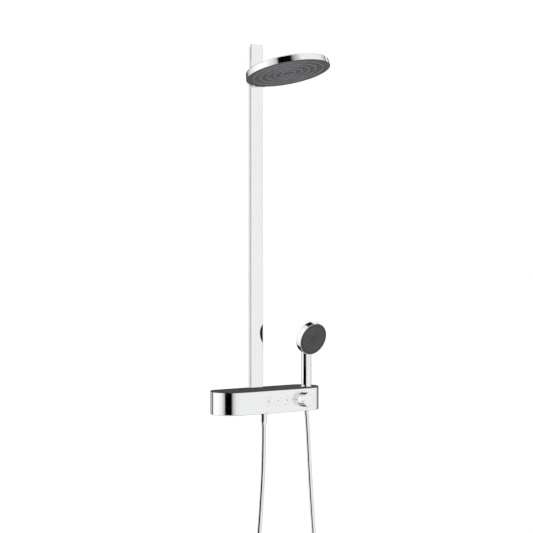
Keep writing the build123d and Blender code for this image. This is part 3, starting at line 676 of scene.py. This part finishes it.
@dataclass
class SprayFace:
    """A round spray face: raised rings on a thin disc, with soft nozzles on them."""

    node: str
    piece: str
    slot: str
    outward: tuple[float, float, float]
    rings: tuple[float, ...]
    wave: tuple[float, float, float, float]
    grooves: tuple[tuple[float, float, float], ...]
    thickness: float = 3.0 * MM
    nozzle_radius: float = 1.15 * MM
    nozzle_height: float = 1.3 * MM
    spacing: float = 6.2 * MM
    body: str = "overhead"
    nozzle_slot: str = "silicone"
    ridge: tuple[float, float] = (3.4 * MM, 0.7 * MM)
    edge: float = 0.35 * MM
    step: float = 0.45 * MM
    sunk: float = 0.3 * MM
    sides: int = 10

    def radius(self) -> float:
        """Outer radius of the disc, from its CAD box."""
        low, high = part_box(self.node)
        return float(high[0] - low[0]) / 2

    def relief(self, r: np.ndarray) -> np.ndarray:
        """Height of the face at a distance r from its centre.

        A cosine wave with a crest on each ring runs from the wave's start to its end and fades
        in and out over half a period. Each groove takes away a squared cosine of its width.

        Args:
            r: distances from the centre.

        Returns:
            Heights over the disc's flat face.
        """
        period, height, start, end = self.wave
        fade = np.clip(np.minimum(r - start, end - r) / (period / 2), 0, 1)
        high = height * np.cos(TURN * (r - self.rings[0]) / period) * fade**2 * (3 - 2 * fade)
        for radius, width, depth in self.grooves:
            away = np.clip(np.abs(r - radius) / (width / 2), 0, 1)
            high -= depth * np.cos(np.pi / 2 * away) ** 2
        return high

    def place(self) -> Place:
        """Frame of the face, looking out of it."""
        out = np.array(self.outward) / np.linalg.norm(self.outward)
        face = middle_of(self.node) + out * self.thickness / 2
        return Place(tuple(face), tuple(out))

    def disc(self) -> bpy.types.Object:
        """The disc's closed surface: its relief and a rounded rim, turned about its middle.

        Returns:
            The disc.
        """
        outer, edge = self.radius(), self.edge
        r = np.linspace(0, outer - edge, int(outer / self.step))
        front = np.stack([r, self.relief(r)], -1)
        rim = rounded_profile(
            [(outer - edge, 0), (outer, 0), (outer, -self.thickness), (0, -self.thickness)],
            [edge * 0.6, edge], 4,
        )[1:]
        profile = np.concatenate([front, rim])[::-1]
        return turned(self.piece, self.place(), profile, 192)

    def ridges(self) -> list[bpy.types.Object]:
        """The nozzle rings: a low ridge on each ring, sunk a little into the disc.

        A ridge's height falls from its middle to its edges by the fourth power of the way.

        Returns:
            One object for each ring.
        """
        width, height = self.ridge
        across = np.linspace(-1, 1, 9)
        made = []
        for index, radius in enumerate(self.rings):
            foot = float(self.relief(np.array([radius]))[0]) - self.sunk
            crown = foot + (height + self.sunk) * (1 - across**4)
            profile = np.stack([radius + across * width / 2, crown], -1)[::-1]
            made.append(turned(f"{self.piece}_ridge_{index + 1}", self.place(),
                               np.concatenate([profile, profile[:1]]), 160))
        return made

    def nozzle_spots(self) -> np.ndarray:
        """Places of the nozzles on the face, ring by ring, every other ring half a step on.

        Returns:
            Places, shape (nozzles, 2).
        """
        spots = []
        for index, radius in enumerate(self.rings):
            count = max(4, round(TURN * radius / self.spacing))
            angle = (np.arange(count) + 0.5 * (index % 2)) / count * TURN
            spots.append(np.stack([radius * np.cos(angle), radius * np.sin(angle)], -1))
        return np.concatenate(spots)

    def nozzles(self) -> bpy.types.Object:
        """All nozzles in one mesh: a small cone with a rounded tip and a dimple at each spot.

        Returns:
            The nozzles.
        """
        sides = self.sides
        shape = np.array(NOZZLE_OUTLINE) * (self.nozzle_radius, self.nozzle_height)
        angle = np.arange(sides) / sides * TURN
        ring = np.stack([np.cos(angle), np.sin(angle)], -1)
        cone = np.concatenate([
            np.stack([r * ring[:, 0], r * ring[:, 1], np.full(sides, h)], -1) for r, h in shape
        ] + [np.array([[0, 0, shape[-1, 1]], [0, 0, shape[0, 1]]])])
        rows = len(shape)
        quads = grid_faces(rows, sides, True)
        here, after = np.arange(sides), (np.arange(sides) + 1) % sides
        last = (rows - 1) * sides
        caps = np.concatenate([
            np.stack([last + here, last + after, np.full(sides, rows * sides)], -1),
            np.stack([after, here, np.full(sides, rows * sides + 1)], -1),
        ])
        spots = self.nozzle_spots()
        height = self.relief(np.linalg.norm(spots, axis=1)) + self.ridge[1]
        base = np.concatenate([spots, height[:, None]], -1)
        points = (base[:, None, :] + cone[None, :, :]).reshape(-1, 3)
        step = (np.arange(len(spots)) * len(cone))[:, None, None]
        faces = [(part[None] + step).reshape(-1, part.shape[1]) for part in (quads, caps)]
        return mesh_object(self.piece + "_nozzles", self.place().world(points), *faces)

    def build(self, finishes: Finishes) -> int:
        """Builds the disc, its nozzles and its ridges and puts them on their body.

        Args:
            finishes: the material store.

        Returns:
            The number of nozzles.
        """
        disc = self.disc()
        dress(disc, finishes.get(self.slot))
        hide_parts(self.node)
        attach(disc, self.body)
        for soft in (self.nozzles(), *self.ridges()):
            dress(soft, finishes.get(self.nozzle_slot))
            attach(soft, self.body)
        return len(self.nozzle_spots())


def spray_faces() -> list[SprayFace]:
    """The two spray faces of the set.

    Returns:
        The overhead shower's face and the hand shower's face.
    """
    tilt, droop = math.radians(16.4), math.radians(18.0)
    return [
        SprayFace("overhead_spray_plate", "overhead_face", "spray_face",
                  (0.0, -math.sin(tilt), -math.cos(tilt)),
                  tuple(r * MM for r in (22.0, 43.5, 65.0, 86.5, 108.0)),
                  (21.5 * MM, 0.75 * MM, 8 * MM, 127 * MM), ((0.0, 18 * MM, 0.8 * MM),),
                  nozzle_radius=0.95 * MM, nozzle_height=0.8 * MM),
        SprayFace("hand_spray_plate", "hand_face", "hand_face",
                  (0.0, -math.cos(droop), -math.sin(droop)),
                  tuple(r * MM for r in (15.0, 22.5, 30.0, 37.5)),
                  (7.5 * MM, 0.32 * MM, 9 * MM, 43 * MM),
                  ((8.5 * MM, 4.5 * MM, 0.9 * MM), (44.5 * MM, 5.0 * MM, 0.7 * MM)),
                  nozzle_radius=0.6 * MM, nozzle_height=0.7 * MM, spacing=4.6 * MM,
                  body="hand_shower", nozzle_slot="spray_face",
                  ridge=(1.5 * MM, 0.35 * MM)),
    ]


# ------------------------------------------------------------------ printed marks


@dataclass
class ButtonMarks:
    """Small printed pictograms on the three outlet buttons, and a dot on the spray button."""

    line: float = 0.75 * MM
    lift: float = 0.04 * MM
    thick: float = 0.08 * MM
    mode_dot: float = 1.0
    mode_drop: float = 5.5 * MM

    def stroke(self, points: np.ndarray) -> tuple[np.ndarray, np.ndarray]:
        """A flat ribbon of the line's width along points of the button's plane.

        Args:
            points: shape (points, 2).

        Returns:
            Ribbon points, shape (2 * points, 2), and its quads.
        """
        way = np.gradient(points, axis=0)
        way /= np.linalg.norm(way, axis=1)[:, None]
        off = np.stack([-way[:, 1], way[:, 0]], -1) * self.line / 2
        ribbon = np.concatenate([points + off, points - off])
        n = np.arange(len(points) - 1)
        quads = np.stack([n, n + len(points), n + len(points) + 1, n + 1], -1)
        return ribbon, quads

    @staticmethod
    def arc(x: float, z: float, radius: float, start: float, end: float) -> np.ndarray:
        """Points of an arc.

        Args:
            x: middle of the arc across the button, in millimetres.
            z: middle of the arc up the button, in millimetres.
            radius: its radius, in millimetres.
            start: its first angle, in degrees.
            end: its last angle, in degrees.

        Returns:
            Points in metres, shape (points, 2).
        """
        t = np.radians(np.linspace(start, end, max(8, int(abs(end - start) / 8))))
        return np.stack([x + radius * np.cos(t), z + radius * np.sin(t)], -1) * MM

    @staticmethod
    def run(*points: tuple[float, float]) -> np.ndarray:
        """Points of a straight run, in millimetres."""
        return np.array(points, float) * MM

    def pictogram(self, outlet: Outlet) -> list[np.ndarray]:
        """Strokes of one pictogram: an overhead spray, a wide spray or a hand shower.

        Args:
            outlet: what the button opens.

        Returns:
            Points of each stroke, in metres from the button's middle.
        """
        drops = [self.run((x, -1.0), (x * 1.25, -3.4)) for x in (-2.4, 0.0, 2.4)]
        if outlet is Outlet.OVERHEAD:
            return [self.arc(0, 0.6, 3.6, 0, 180), self.run((-3.6, 0.6), (3.6, 0.6))] + drops
        if outlet is Outlet.WIDE:
            return [self.run((-4.2, 1.6), (4.2, 1.6)), self.run((0, 1.6), (0, 3.6))] + drops
        return [self.arc(-1.2, 1.6, 2.3, 0, 360), self.run((0.4, 0.0), (3.4, -3.6))]

    def build(self, finishes: Finishes) -> int:
        """Puts a pictogram on each outlet button and a dot on the spray button.

        Args:
            finishes: the material store.

        Returns:
            The number of marks.
        """
        for number, outlet in enumerate(Outlet, 1):
            node = f"select_button_{number}"
            middle = middle_of(node)
            middle[1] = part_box(node)[0][1]
            self.print_on(f"button_mark_{number}", self.pictogram(outlet), middle,
                          outlet.value, finishes)
        low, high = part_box("mode_button")
        middle = np.array([(low[0] + high[0]) / 2, low[1], high[2] - self.mode_drop])
        dot = self.arc(0, 0, self.mode_dot, 0, 360)
        self.print_on("mode_mark", [dot], middle, "spray_mode", finishes)
        return len(Outlet) + 1

    def print_on(self, name: str, strokes: Sequence[np.ndarray], middle: np.ndarray, body: str,
                 finishes: Finishes) -> None:
        """Makes strokes a thin raised print in front of a point that faces the user.

        Args:
            name: the print's name.
            strokes: points of each stroke, shape (points, 2).
            middle: place of the strokes' origin.
            body: the body that the print rides on.
            finishes: the material store.
        """
        points, faces, count = [], [], 0
        for line in strokes:
            ribbon, quads = self.stroke(line)
            for depth, flip in ((self.lift, 1), (self.lift - self.thick, -1)):
                level = np.full(len(ribbon), -depth)
                points.append(np.stack([ribbon[:, 0], level, ribbon[:, 1]], -1))
                faces.append(quads[:, ::flip] + count)
                count += len(ribbon)
            half = len(ribbon) // 2
            ring = np.concatenate([np.arange(half), np.arange(2 * half - 1, half - 1, -1)])
            after = np.roll(ring, -1)
            front, back = count - 2 * len(ribbon), count - len(ribbon)
            faces.append(np.stack([ring + front, after + front, after + back, ring + back], -1))
        mark = mesh_object(name, np.concatenate(points) + middle, np.concatenate(faces))
        mark.data.polygons.foreach_set("use_smooth", np.zeros(len(mark.data.polygons), bool))
        dress(mark, finishes.get("spray_face"))
        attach(mark, body)


# ------------------------------------------------------------------ studio


@dataclass(frozen=True)
class Patch:
    """A soft patch of the room that polished metal sees, in degrees, with its own grey."""

    turn: float
    rise: float
    half_turn: float
    half_rise: float
    soft: float = 4.0
    grey: float = 0.01


@dataclass(frozen=True)
class Flag:
    """A dark studio card that only reflections see, standing on a curved plan.

    stops gives how much light the card lets by, from one end of its plan to the other.
    """

    name: str
    plan: tuple[tuple[float, float], ...]
    low: float
    high: float
    stops: tuple[tuple[float, float], ...] = ((0.0, 0.0), (1.0, 0.0))
    one_sided: bool = False


def arc_plan(x: float, y: float, radius: float, start: int,
             end: int) -> tuple[tuple[float, float], ...]:
    """Points of a level arc, every three degrees.

    Args:
        x: middle of the arc along the wall.
        y: middle of the arc into the wall.
        radius: its radius.
        start: its first angle, in degrees from the front towards the left.
        end: its last angle.

    Returns:
        The points, (x, y) each.
    """
    return tuple((x - radius * math.sin(math.radians(t)), y - radius * math.cos(math.radians(t)))
                 for t in range(start, end + 1, 3))


@dataclass
class Studio:
    """Floor, light, dark cards and camera."""

    azimuth: float = 39.44
    pitch: float = 1.838
    lens: float = 157.89
    eye: tuple[float, float, float] = (-4.612, -5.667, 0.6485)
    floor_drop: float = 0.06
    floor_size: float = 60.0
    sensor: float = 36.0
    sight: float = 100.0
    strength: float = 1.12
    wall_white: float = 0.96
    # Ceiling and ground as metal sees them: (rise where it starts, rise where it is full, grey).
    ceiling: tuple[float, float, float] = (49.0, 57.0, 0.82)
    ground: tuple[float, float, float] = (-42.0, -52.0, 0.32)
    # Brightness round the room: (degrees from the front towards the left, share of full).
    room: tuple[tuple[float, float], ...] = (
        (-180, 0.45), (-174, 0.25), (-165, 0.04), (-150, 0.02), (-118, 0.02), (-109, 0.05),
        (-103, 0.14), (-96, 0.50), (-88, 0.66), (-78, 0.78), (-60, 0.84), (-40, 0.84),
        (-20, 0.84), (0, 0.80), (60, 0.80), (100, 0.88), (113, 0.98), (135, 0.98), (146, 0.90),
        (161, 0.78), (169, 0.66), (180, 0.46),
    )
    patches: tuple[Patch, ...] = (
        Patch(-121, 30, 14, 17, 4, 0.86),
        Patch(-158, 54, 19, 11),
        Patch(177, 59, 5, 7),
        Patch(177, -27, 5, 8),
        Patch(-170, -27, 8, 8),
        Patch(55, 0, 11, 9),
    )
    flags: tuple[Flag, ...] = (
        Flag("front_left_card", arc_plan(-0.175, -0.10, 0.5, 4, 97), -0.13, 0.045,
             ((0.0, 1.0), (0.10, 0.82), (0.21, 0.62), (0.30, 0.10), (0.34, 0.0), (0.68, 0.0),
              (0.73, 0.25), (0.76, 0.44), (0.84, 0.74), (1.0, 1.0))),
        Flag("upper_card", arc_plan(0.0, -0.165, 0.6, 4, 100), 1.095, 1.80,
             ((0.0, 0.88), (0.16, 0.57), (0.22, 0.43), (0.285, 0.10), (0.33, 0.0), (0.67, 0.0),
              (0.70, 0.25), (0.735, 0.60), (0.82, 0.80), (0.89, 0.90), (1.0, 1.0))),
        Flag("left_end_card", ((-0.2685, 0.091), (-0.235, 0.104)), -0.056, 0.029),
        Flag("handle_card", ((0.085, -0.108), (0.085, -0.066)), 0.037, 0.145, one_sided=True),
        Flag("bar_card", ((-0.10, -0.055), (-0.10, -0.022)), 0.04, 0.98, one_sided=True),
        Flag("hose_card", ((-0.10, -0.115), (-0.10, 0.03)), -0.80, -0.045),
        Flag("right_hose_card", ((0.06, -0.16), (0.06, -0.04)), -0.80, -0.045, one_sided=True),
    )
    # Pieces that don't show in the other pieces' reflections.
    unseen: tuple[str, ...] = (
        "tablet_housing", "glass_shelf", "back_plate", "valve_body", "inlet_union_left",
        "inlet_union_right", "duct_coupling", "thermostat_cartridge", "select_valve_1",
        "select_valve_2", "select_valve_3", "outlet_spigot", "housing_screws", "inlet_filters",
        "riser_cover", "riser_rail", "riser_end_cap", "water_duct", "hand_shower_shell",
    )

    @staticmethod
    def _math(tree: bpy.types.NodeTree, operation: str, *values: object) -> bpy.types.NodeSocket:
        """A math node.

        Args:
            tree: the node tree.
            operation: what the node does.
            *values: its inputs, sockets or numbers.

        Returns:
            The result's socket.
        """
        made = tree.nodes.new("ShaderNodeMath")
        made.operation = operation
        for index, value in enumerate(values):
            if isinstance(value, bpy.types.NodeSocket):
                tree.links.new(value, made.inputs[index])
            else:
                made.inputs[index].default_value = value
        return made.outputs[0]

    @staticmethod
    def _range(tree: bpy.types.NodeTree, value: bpy.types.NodeSocket, start: float, end: float,
               low: float = 0.0, high: float = 1.0) -> bpy.types.NodeSocket:
        """A value carried smoothly from start..end to low..high.

        Args:
            tree: the node tree.
            value: the value's socket.
            start: first end of the value's run.
            end: other end of the value's run.
            low: what start becomes.
            high: what end becomes.

        Returns:
            The new value's socket.
        """
        made = tree.nodes.new("ShaderNodeMapRange")
        made.interpolation_type = "SMOOTHSTEP"
        for index, number in enumerate((start, end, low, high), 1):
            made.inputs[index].default_value = number
        tree.links.new(value, made.inputs[0])
        return made.outputs[0]

    @staticmethod
    def _ramp(tree: bpy.types.NodeTree, value: bpy.types.NodeSocket,
              stops: Sequence[tuple[float, float]]) -> bpy.types.NodeSocket:
        """A grey ramp over the run of its stops.

        Args:
            tree: the node tree.
            value: the value's socket.
            stops: (value, grey) pairs in rising order.

        Returns:
            The colour's socket.
        """
        low, high = stops[0][0], stops[-1][0]
        scaled = tree.nodes.new("ShaderNodeMapRange")
        scaled.inputs[1].default_value = low
        scaled.inputs[2].default_value = high
        tree.links.new(value, scaled.inputs[0])
        ramp = tree.nodes.new("ShaderNodeValToRGB")
        elements = ramp.color_ramp.elements
        for index, (spot, level) in enumerate(stops):
            position = (spot - low) / (high - low)
            element = elements[index] if index < 2 else elements.new(position)
            element.position = position
            element.color = grey(level)
        tree.links.new(scaled.outputs[0], ramp.inputs["Fac"])
        return ramp.outputs["Color"]

    @staticmethod
    def _mix(tree: bpy.types.NodeTree, share: object, first: object, second: object
             ) -> bpy.types.NodeSocket:
        """A colour mixed from two, each a socket or a colour.

        Args:
            tree: the node tree.
            share: share of the second colour.
            first: the first colour.
            second: the second colour.

        Returns:
            The colour's socket.
        """
        made = tree.nodes.new("ShaderNodeMix")
        made.data_type = "RGBA"
        for index, value in ((0, share), (6, first), (7, second)):
            if isinstance(value, bpy.types.NodeSocket):
                tree.links.new(value, made.inputs[index])
            else:
                made.inputs[index].default_value = value
        return made.outputs[2]

    def light(self) -> None:
        """A soft white room, with light and dark panels that only reflections show.

        The room's grey is set by the direction: its turn round the object, in degrees from the
        front towards the left, and its rise over the level, in degrees.
        """
        world = bpy.data.worlds.new("soft_studio")
        bpy.context.scene.world = world
        world.use_nodes = True
        tree = world.node_tree
        back = tree.nodes["Background"]
        back.inputs["Strength"].default_value = self.strength
        where = tree.nodes.new("ShaderNodeTexCoord").outputs["Generated"]
        parts = tree.nodes.new("ShaderNodeSeparateXYZ")
        tree.links.new(where, parts.inputs[0])
        left = self._math(tree, "MULTIPLY", parts.outputs["X"], -1.0)
        front = self._math(tree, "MULTIPLY", parts.outputs["Y"], -1.0)
        degrees = 180 / math.pi
        turn = self._math(tree, "MULTIPLY", self._math(tree, "ARCTAN2", left, front), degrees)
        slope = self._math(tree, "ARCSINE", parts.outputs["Z"])
        rise = self._math(tree, "MULTIPLY", slope, degrees)
        room = self._ramp(tree, turn, self.room)
        for start, full, level in (self.ceiling, self.ground):
            room = self._mix(tree, self._range(tree, rise, start, full), room, grey(level))
        for patch in self.patches:
            across = self._math(tree, "ABSOLUTE", self._math(tree, "SUBTRACT", turn, patch.turn))
            up = self._math(tree, "ABSOLUTE", self._math(tree, "SUBTRACT", rise, patch.rise))
            inside = self._math(
                tree, "MULTIPLY",
                self._range(tree, across, patch.half_turn + patch.soft, patch.half_turn),
                self._range(tree, up, patch.half_rise + patch.soft, patch.half_rise),
            )
            room = self._mix(tree, inside, room, grey(patch.grey))
        path = tree.nodes.new("ShaderNodeLightPath")
        chosen = self._mix(tree, path.outputs["Is Glossy Ray"], grey(self.wall_white), room)
        tree.links.new(chosen, back.inputs["Color"])

    def cards(self) -> None:
        """The dark cards, each a vertical strip along its plan with its share of light let by."""
        for flag in self.flags:
            plan = np.array(flag.plan)
            count = len(plan)
            points = np.concatenate([np.column_stack([plan, np.full(count, z)])
                                     for z in (flag.low, flag.high)])
            n = np.arange(count - 1)
            quads = np.stack([n, n + 1, n + 1 + count, n + count], -1)
            card = mesh_object(flag.name, points, quads)
            run = np.concatenate([[0], np.cumsum(np.linalg.norm(np.diff(plan, axis=0), axis=1))])
            along = np.tile(run / run[-1], 2)
            layer = card.data.attributes.new("along", "FLOAT", "POINT")
            layer.data.foreach_set("value", along.astype(np.float32))
            material = bpy.data.materials.new(flag.name)
            material.use_nodes = True
            tree = material.node_tree
            tree.nodes.clear()
            attribute = tree.nodes.new("ShaderNodeAttribute")
            attribute.attribute_name = "along"
            clear = tree.nodes.new("ShaderNodeBsdfTransparent")
            share = self._ramp(tree, attribute.outputs["Fac"], flag.stops)
            if flag.one_sided:
                side = tree.nodes.new("ShaderNodeNewGeometry").outputs["Backfacing"]
                share = self._mix(tree, side, share, grey(1.0))
            tree.links.new(share, clear.inputs["Color"])
            out = tree.nodes.new("ShaderNodeOutputMaterial")
            tree.links.new(clear.outputs[0], out.inputs["Surface"])
            dress(card, material)
            for ray in ("camera", "diffuse", "shadow", "transmission"):
                setattr(card, f"visible_{ray}", False)
            card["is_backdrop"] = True

    def floor(self, low: float) -> None:
        """A pale floor below the object.

        Args:
            low: the object's lowest height.
        """
        half, z = self.floor_size / 2, low - self.floor_drop
        points = np.array([(-half, -half, z), (half, -half, z), (half, half, z), (-half, half, z)])
        floor = mesh_object("floor", points, np.array([[0, 1, 2, 3]]))
        shade = Shade("pale_floor").set(Roughness=0.9)
        shade.tint(shade.noise(0.7, 2.0), grey(0.96)[:3], grey(0.99)[:3])
        dress(floor, shade.material)
        for ray in ("glossy", "diffuse", "shadow"):
            setattr(floor, f"visible_{ray}", False)
        floor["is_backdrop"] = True

    def camera(self) -> None:
        """The camera, far off and to the object's left, looking slightly down."""
        data = bpy.data.cameras.new("camera")
        data.lens = self.lens
        data.sensor_width = self.sensor
        data.clip_end = self.sight
        camera = bpy.data.objects.new("camera", data)
        bpy.context.scene.collection.objects.link(camera)
        camera.location = self.eye
        camera.rotation_euler = (math.radians(90 - self.pitch), 0.0, -math.radians(self.azimuth))
        bpy.context.scene.camera = camera

    def build(self, low: float) -> None:
        """Sets the whole studio up.

        Args:
            low: the object's lowest height.
        """
        bpy.context.scene.view_settings.view_transform = "Standard"
        self.light()
        self.cards()
        self.floor(low)
        self.camera()


def corners(bounds: tuple[Vector, Vector]) -> list[list[float]]:
    """A box as plain lists."""
    return [[float(v) for v in corner] for corner in bounds]


def main() -> None:
    """Builds the looks round the frame, piece by piece."""
    logging.basicConfig(level=logging.INFO, format="%(message)s")
    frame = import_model()
    cad = corners(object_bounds())
    finishes = Finishes()
    finishes.dress_frame(frame)
    log.info("dressed %d nodes", len(frame["nodes"]))
    log.info("built %s", Hose().build(finishes).name)
    for face in spray_faces():
        log.info("built %s with %d nozzles", face.piece, face.build(finishes))
    log.info("printed %d marks", ButtonMarks().build(finishes))
    for name in Studio.unseen:
        frame["nodes"][name].visible_glossy = False
    Studio().build(cad[0][2])
    bpy.context.view_layer.update()


if __name__ == "__main__":
    main()
